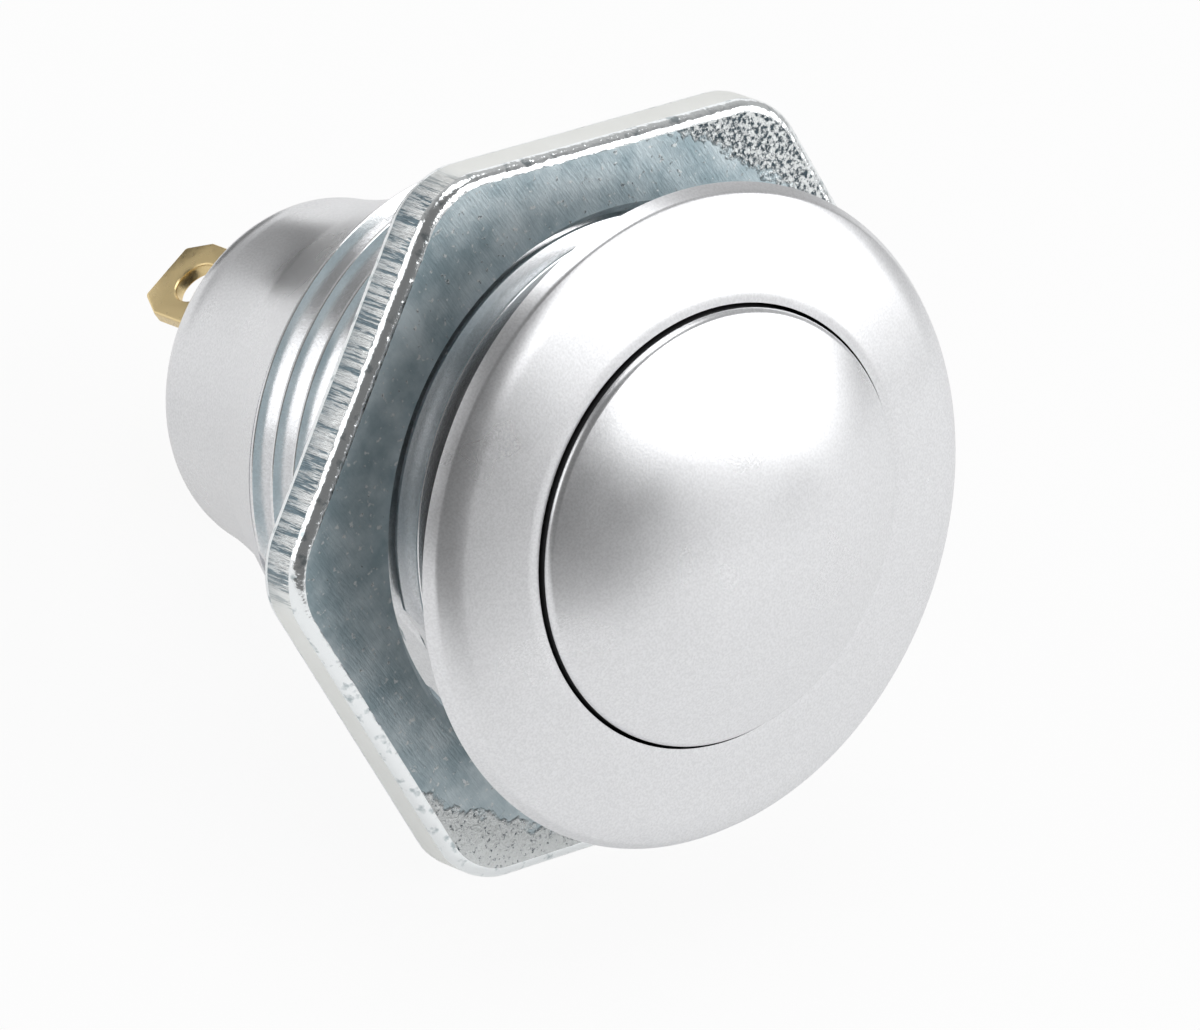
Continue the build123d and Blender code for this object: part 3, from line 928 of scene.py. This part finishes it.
def make_button():
    bm = bmesh.new()
    rise = BUTTON_TOP - BUTTON_EDGE
    dome_r = (BUTTON_R**2 + rise**2) / (2 * rise)
    centre = (0, BUTTON_TOP - dome_r)
    top = bm.verts.new((0, 0, BUTTON_TOP))
    edge = arc_from(bm, top, centre, -math.asin(BUTTON_R / dome_r), 40)
    rest = [
        (BUTTON_R, WALL_CORNER_LEVEL),
        (BUTTON_R, SEAL_GROOVE_TOP),
        (SEAL_GROOVE_R, SEAL_GROOVE_TOP),
        (SEAL_GROOVE_R, SEAL_GROOVE_BOTTOM),
        (BUTTON_R, SEAL_GROOVE_BOTTOM),
        (BUTTON_R, SKIRT_LEVEL),
        (POCKET_R, SKIRT_LEVEL),
        (POCKET_R, POCKET_ROOF),
        (STEM_R, POCKET_ROOF),
        (STEM_R, CLIP_GROOVE_TOP),
        (CLIP_GROOVE_R, CLIP_GROOVE_TOP),
        (CLIP_GROOVE_R, CLIP_GROOVE_BOTTOM),
        (STEM_R, CLIP_GROOVE_BOTTOM),
        (STEM_R, STEM_END),
        (SPIGOT_R, STEM_END),
        (SPIGOT_R, button_low.z),
        (0, button_low.z),
    ]
    join_verts(bm, edge, chain(bm, rest)[0])
    spin_section(bm)
    round_ring(bm, BUTTON_R, BUTTON_EDGE, SHOULDER_RUN, 10)
    # The side wall gets painted shade, a near-black finish, for the dark gap.
    paint_gap_shade(bm, BUTTON_R)
    finishes = [SATIN, GAP_SHADE_PAINT]
    return finished(bm, "button_cap", finishes, "button", ["button"])


make_button()

# %% [markdown]
# ## The rear shell
#
# Behind the thread the body narrows in a cone, has a faint crease, and runs into a rounded end with
# a mouth for the lugs. The belly behind the crease is the arc through three of its points.

# %% Rear shell's sizes
SHELL_FRONT_R = 7.7 * mm
CREASE = (6.23 * mm, -13.46 * mm)
BELLY = (5.705 * mm, -15.22 * mm)
END_R, END_ROUND = 5.345 * mm, 1.41 * mm
TURN_LEVEL = -16.98 * mm
MOUTH_R, MOUTH_LIP = 3.95 * mm, 0.45 * mm
SHELL_WALL = 0.6 * mm
BASE_SEAT_R, BASE_SEAT = 5.3 * mm, -12.19 * mm


def circle_through(a, b, c):
    """Centre of the circle through three (radius, level) points."""
    ax, ay, bx, by, cx, cy = *a, *b, *c
    d = 2 * (ax * (by - cy) + bx * (cy - ay) + cx * (ay - by))
    sq = [x * x + y * y for x, y in (a, b, c)]
    ux = (sq[0] * (by - cy) + sq[1] * (cy - ay) + sq[2] * (ay - by)) / d
    uy = (sq[0] * (cx - bx) + sq[1] * (ax - cx) + sq[2] * (bx - ax)) / d
    return ux, uy


def angle_about(centre, point):
    return math.atan2(point[1] - centre[1], point[0] - centre[0])


belly_centre = circle_through(CREASE, BELLY, (END_R, TURN_LEVEL))
print("belly's centre in mm:", [round(size / mm, 2) for size in belly_centre])

# %% Rear shell


def make_shell():
    bm = bmesh.new()
    front = chain(
        bm, [(TAIL_R, SHELL_SEAT), (TAIL_R, BARREL_END), (SHELL_FRONT_R, BARREL_END), CREASE]
    )
    start = angle_about(belly_centre, CREASE)
    stop = angle_about(belly_centre, (END_R, TURN_LEVEL))
    sweep = (stop - start + math.pi) % FULL_TURN - math.pi
    turned = arc_from(bm, front[-1], belly_centre, sweep, 16)
    end_centre = (END_R - END_ROUND, TURN_LEVEL)
    mouth_angle = math.acos((MOUTH_R - end_centre[0]) / END_ROUND)
    mouth = arc_from(bm, turned, end_centre, -mouth_angle, 16)
    back = chain(
        bm,
        [
            (MOUTH_R, mouth.co.z + MOUTH_LIP),
            (END_R - SHELL_WALL, TURN_LEVEL),
            (BASE_SEAT_R, BASE_SEAT),
            (REAR_BORE_R, BASE_SEAT),
            (REAR_BORE_R, SHELL_SEAT),
        ],
    )
    join_verts(bm, mouth, back[0])
    join_verts(bm, back[-1], front[0])
    spin_section(bm)
    name, slot = "rear_shell_skin", "satin_aluminium_shell"
    return finished(bm, name, [SATIN], "housing", ["rear_shell"])


make_shell()

# %% [markdown]
# ## The hex nut
#
# The nut is punched from a bar, so its corners are round and its sides carry shear marks, and then
# one cut faces its front. The outline is a hexagon with its corner vertices bevelled to arcs. It is
# extruded to the nut's thickness. Then the two ends are opened, a circle is set in each, and a
# triangle fill closes the plane between the outline and the circle. Each circle is drawn inwards
# for the countersink, the bore is bridged from one end to the other, and a bevel with six segments
# rolls the outer edges over.

# %% Nut's sizes
nut_low, nut_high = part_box("hex_nut")
NUT_FRONT, NUT_BACK = nut_high.z, nut_low.z
NUT_TURN = math.radians(25)
NUT_APOTHEM = 10.49 * mm
NUT_CORNER_ROUND = 2.4 * mm
NUT_FACE_R = 9.8 * mm
NUT_BORE_R = 8.05 * mm
SINK_R, SINK_DEPTH = 8.45 * mm, 0.6 * mm
BORE_STEPS = 192
EDGE_BREAK = 0.34 * mm
CRISP_FOLD = 1.0
SIDE_R, SIDE_SLOPE = 9 * mm, 0.2
SIDE_SLOT, EDGE_SLOT = 1, 2
print("nut's thickness in mm:", round((NUT_FRONT - NUT_BACK) / mm, 2))

# %% Outline and ends


def only(kind, parts):
    """The vertices, edges or faces among an operator's results."""
    return [part for part in parts if isinstance(part, kind)]


def nut_outline(bm):
    """A hexagon with round corners, as one face at the nut's back."""
    corner_r = NUT_APOTHEM / math.cos(math.pi / 6)
    place = Matrix.Translation((0, 0, NUT_BACK)) @ Matrix.Rotation(NUT_TURN, 4, "Z")
    bmesh.ops.create_circle(bm, cap_ends=True, segments=6, radius=corner_r, matrix=place)
    bevel(bm, bm.verts[:], NUT_CORNER_ROUND / math.sqrt(3), 12, affect="VERTICES", clamp=False)


def open_end(bm, level, inward):
    """Replaces the face at one end by a plane with a countersunk hole, and gives the bore's ring."""
    cap = [f for f in bm.faces if lies_at(f, level)]
    rim = once_each(e for f in cap for e in f.edges)
    bmesh.ops.delete(bm, geom=cap, context="FACES_ONLY")
    place = Matrix.Translation((0, 0, level))
    hole = bmesh.ops.create_circle(bm, segments=BORE_STEPS, radius=SINK_R, matrix=place)["verts"]
    sink = once_each(e for v in hole for e in v.link_edges)
    bmesh.ops.triangle_fill(bm, edges=rim + sink, use_beauty=True, use_dissolve=False)
    grown = bmesh.ops.extrude_edge_only(bm, edges=sink)["geom"]
    verts = only(bmesh.types.BMVert, grown)
    shrink = NUT_BORE_R / SINK_R
    bmesh.ops.scale(bm, verts=verts, vec=(shrink, shrink, 1))
    bmesh.ops.translate(bm, verts=verts, vec=(0, 0, inward * SINK_DEPTH))
    return only(bmesh.types.BMEdge, grown)


def outer_edges(bm):
    """The long edges round both ends of the nut."""

    def at_end(edge):
        return lies_at(edge, NUT_FRONT) or lies_at(edge, NUT_BACK)

    def outside(edge):
        return min(v.co.xy.length for v in edge.verts) > NUT_FACE_R

    ends = [e for e in bm.edges if at_end(e) and outside(e)]
    return [e for e in ends if e.calc_face_angle(0) > CRISP_FOLD]


# %% Nut


def share_finishes(bm, rolled):
    """The nut's sides get the second material, and its rolled edges the third."""
    for face in bm.faces:
        upright = abs(face.normal.z) < SIDE_SLOPE
        if upright and face.calc_center_median().xy.length > SIDE_R:
            face.material_index = SIDE_SLOT
    for face in rolled:
        face.material_index = EDGE_SLOT


def make_nut():
    bm = bmesh.new()
    nut_outline(bm)
    grown = bmesh.ops.extrude_face_region(bm, geom=bm.faces[:], use_keep_orig=True)["geom"]
    verts = only(bmesh.types.BMVert, grown)
    bmesh.ops.translate(bm, verts=verts, vec=(0, 0, NUT_FRONT - NUT_BACK))
    rings = open_end(bm, NUT_FRONT, -1) + open_end(bm, NUT_BACK, 1)
    bmesh.ops.bridge_loops(bm, edges=rings)
    point_outwards(bm)
    rolled = bevel(bm, outer_edges(bm), EDGE_BREAK, 6, clamp=False)
    share_finishes(bm, rolled)
    finishes = [ZINC, SHEARED_ZINC, BURNISHED_ZINC]
    return finished(bm, "hex_nut_plated", finishes, "nut", ["hex_nut"])


make_nut()

# %% [markdown]
# ## The solder lugs
#
# Each lug is stamped from gold-plated strip, with a pointed end, a round eyelet and pressed edges,
# and inside the switch it is bent to a foot that carries a contact. The flat outline and the circle
# of the eyelet are filled together, so the fill leaves the hole open. The fill is extruded to the
# strip's thickness, the foot is drawn out of its front end, and a bevel makes the pressed edges. One
# cut along the middle stays, because the bevel needs an edge that meets the eyelet's ring squarely.

# %% Lug's sizes
lug_low, lug_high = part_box("solder_lug_right")
LUG_HALF_WIDTH = 1.4 * mm
LUG_THICKNESS = 0.5 * mm
LUG_INNER_X = 2.55 * mm
LUG_OUTER_X = LUG_INNER_X + LUG_THICKNESS
LUG_CORNER = (0.45 * mm, 0.85 * mm)
EYELET_R = 0.7 * mm
EYELET_FROM_END = 1.5 * mm
LUG_EDGE = 0.1 * mm
FLAT_FOLD, PRESSED_FOLD = math.radians(1), math.radians(30)
print("lug's length in mm:", round((lug_high.z - lug_low.z) / mm, 2))

# %% Lug's outline and foot


def lug_outline(bm):
    """The blade's outline and its eyelet, in the plane of the blade's inner face."""
    half, tip = LUG_HALF_WIDTH, LUG_HALF_WIDTH - LUG_CORNER[0]
    shoulder = lug_low.z + LUG_CORNER[1]
    points = [
        (-half, lug_high.z),
        (-half, shoulder),
        (-tip, lug_low.z),
        (tip, lug_low.z),
        (half, shoulder),
        (half, lug_high.z),
    ]
    verts = [bm.verts.new((LUG_INNER_X, y, z)) for y, z in points]
    join_verts(bm, *verts, verts[0])
    place = Matrix.Translation((LUG_INNER_X, 0, lug_low.z + EYELET_FROM_END))
    face_x = Matrix.Rotation(math.pi / 2, 4, "Y")
    bmesh.ops.create_circle(bm, segments=64, radius=EYELET_R, matrix=place @ face_x)
    bmesh.ops.triangle_fill(bm, edges=bm.edges[:], use_beauty=True, use_dissolve=False)
    everything = bm.verts[:] + bm.edges[:] + bm.faces[:]
    middle = {"plane_co": (0, 0, 0), "plane_no": (0, 1, 0), "dist": AT_LEVEL}
    bmesh.ops.bisect_plane(bm, geom=everything, **middle)


def draw_out(bm, faces, distance):
    """Extrudes faces away from the axis. Their edges go along, so that no face stays inside."""
    edges = once_each(e for f in faces for e in f.edges)
    grown = bmesh.ops.extrude_face_region(bm, geom=faces + edges)["geom"]
    bmesh.ops.translate(bm, verts=only(bmesh.types.BMVert, grown), vec=(distance, 0, 0))
    point_outwards(bm)


def add_foot(bm):
    """Cuts the blade at the foot's rear, and draws the part in front of the cut outwards."""
    everything = bm.verts[:] + bm.edges[:] + bm.faces[:]
    foot_back = lug_high.z - LUG_THICKNESS
    bmesh.ops.bisect_plane(bm, geom=everything, plane_co=(0, 0, foot_back), plane_no=(0, 0, 1))

    def on_foot(vert):
        return vert.co.x > LUG_OUTER_X - AT_LEVEL and vert.co.z > foot_back - AT_LEVEL

    foot = [f for f in bm.faces if all(on_foot(v) for v in f.verts)]
    draw_out(bm, foot, lug_high.x - LUG_OUTER_X)


# %% Lugs


def crisp_edges(bm, angle):
    return [e for e in bm.edges if len(e.link_faces) == 2 and e.calc_face_angle(0) > angle]


def join_flat_faces(bm):
    """Joins the fill's triangles, but for the cut along the middle that opens the eyelet's ring."""
    beside = [e for e in bm.edges if any(abs(v.co.y) > AT_LEVEL for v in e.verts)]
    bmesh.ops.dissolve_limit(bm, angle_limit=FLAT_FOLD, verts=bm.verts[:], edges=beside)


def make_lug(side, name, node):
    bm = bmesh.new()
    lug_outline(bm)
    draw_out(bm, bm.faces[:], LUG_THICKNESS)
    add_foot(bm)
    join_flat_faces(bm)
    bevel(bm, crisp_edges(bm, PRESSED_FOLD), LUG_EDGE, 3)
    if side < 0:
        bmesh.ops.scale(bm, vec=(-1, 1, 1), verts=bm.verts[:])
        point_outwards(bm)
    return finished(bm, name, [GOLD], "housing", [node])


make_lug(1, "gold_lug_right", "solder_lug_right")
make_lug(-1, "gold_lug_left", "solder_lug_left")

# %% [markdown]
# ## Rubber rings, resin and springs
#
# An O-ring is a circle spun round the axis. The potting resin is a plug that was poured in last, so
# its free surface climbs a little where it wets the shell's mouth.

# %% Rubber rings
FINE_STEPS = 128


def wire_circle(bm, mean_r, level, radius, segments):
    """A circle that stands upright at the radius, ready to be spun."""
    upright = Matrix.Translation((mean_r, 0, level)) @ Matrix.Rotation(math.pi / 2, 4, "X")
    bmesh.ops.create_circle(bm, segments=segments, radius=radius, matrix=upright)


def make_o_ring(name, node, body):
    low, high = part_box(node)
    section = high.z - low.z
    bm = bmesh.new()
    wire_circle(bm, high.x - section / 2, (low.z + high.z) / 2, section / 2, 24)
    spin_section(bm, FINE_STEPS)
    return finished(bm, name, [RUBBER], body, [node])


make_o_ring("panel_o_ring", "panel_seal", "housing")
make_o_ring("button_o_ring", "button_seal", "button")

# %% Potting resin
RESIN_FRONT_R, RESIN_TURN_R = 5.0 * mm, 4.7 * mm
RESIN_LIP = 0.3 * mm
# The free surface: how far it lies from the mouth's wall, and how far from the plug's rear.
MENISCUS = [(0.1 * mm, 0.08 * mm), (0.3 * mm, 0.13 * mm), (0.8 * mm, 0.16 * mm)]


def make_resin():
    low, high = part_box("resin_seal")
    bm = bmesh.new()
    side = [
        (0, high.z),
        (RESIN_FRONT_R, high.z),
        (RESIN_TURN_R, TURN_LEVEL),
        (MOUTH_R, low.z + RESIN_LIP),
        (MOUTH_R, low.z),
    ]
    surface = [(MOUTH_R - inward, low.z + depth) for inward, depth in MENISCUS]
    chain(bm, side + surface + [(0, surface[-1][1])])
    spin_section(bm, FINE_STEPS)
    return finished(bm, "resin_plug", [RESIN], "housing", ["resin_seal"])


make_resin()

# %% [markdown]
# A coil spring is a circle spun with a rise. Each spring is wound in three stages, because its end
# coils lie flat and only its middle rises. The springs flatten with the press of the button, and
# each gets a mesh of its own.

# %% Coil springs
COIL_STEPS = 48
END_COIL_TURNS = 0.75
WIRE_SLACK, COIL_GAP = 0.98, 1.02


def wind(bm, geometry, turns, rise):
    """Carries a wire circle on round the axis while it climbs, and gives the new end."""
    steps = max(8, round(turns * COIL_STEPS))
    return spin(bm, geometry, steps, turns * FULL_TURN, rise)


def make_spring(name, node, body, wire_r, turns):
    low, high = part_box(node)
    bm = bmesh.new()
    wire_circle(bm, high.x - wire_r, low.z + wire_r, wire_r * WIRE_SLACK, 12)
    geometry = bm.verts[:] + bm.edges[:]
    end_rise = 2 * wire_r * END_COIL_TURNS * COIL_GAP
    middle_rise = high.z - low.z - 2 * wire_r - 2 * end_rise
    geometry = wind(bm, geometry, END_COIL_TURNS, end_rise)
    geometry = wind(bm, geometry, turns - 2 * END_COIL_TURNS, middle_rise)
    wind(bm, geometry, END_COIL_TURNS, end_rise)
    merge_doubles(bm)
    bmesh.ops.holes_fill(bm, edges=[e for e in bm.edges if e.is_boundary], sides=24)
    point_outwards(bm)
    spring = finished(bm, name, [STEEL], body, [node])
    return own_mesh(spring)


make_spring("return_coil", "return_spring", "housing", 0.2 * mm, 4.5)
make_spring("contact_coil", "contact_spring", "button", 0.09 * mm, 3.5)

# %% [markdown]
# ## Pieces that keep their plain solids
#
# What is hidden inside keeps its solid and only takes its own finish.

# %% Finishes of the other pieces
FINISHES = {
    "spring_seat": STEEL,
    "retaining_clip": STEEL,
    "guide_bush": BRONZE,
    "plunger": NATURAL,
    "contact_bridge": COPPER,
    "moving_contact_left": SILVER,
    "moving_contact_right": SILVER,
    "fixed_contact_left": SILVER,
    "fixed_contact_right": SILVER,
    "insulating_sleeve": BLACK,
    "terminal_base": BLACK,
}
for node, material in FINISHES.items():
    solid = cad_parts[node]
    solid.data.materials.clear()
    solid.data.materials.append(material)
print("solids with a finish of their own:", len(FINISHES))
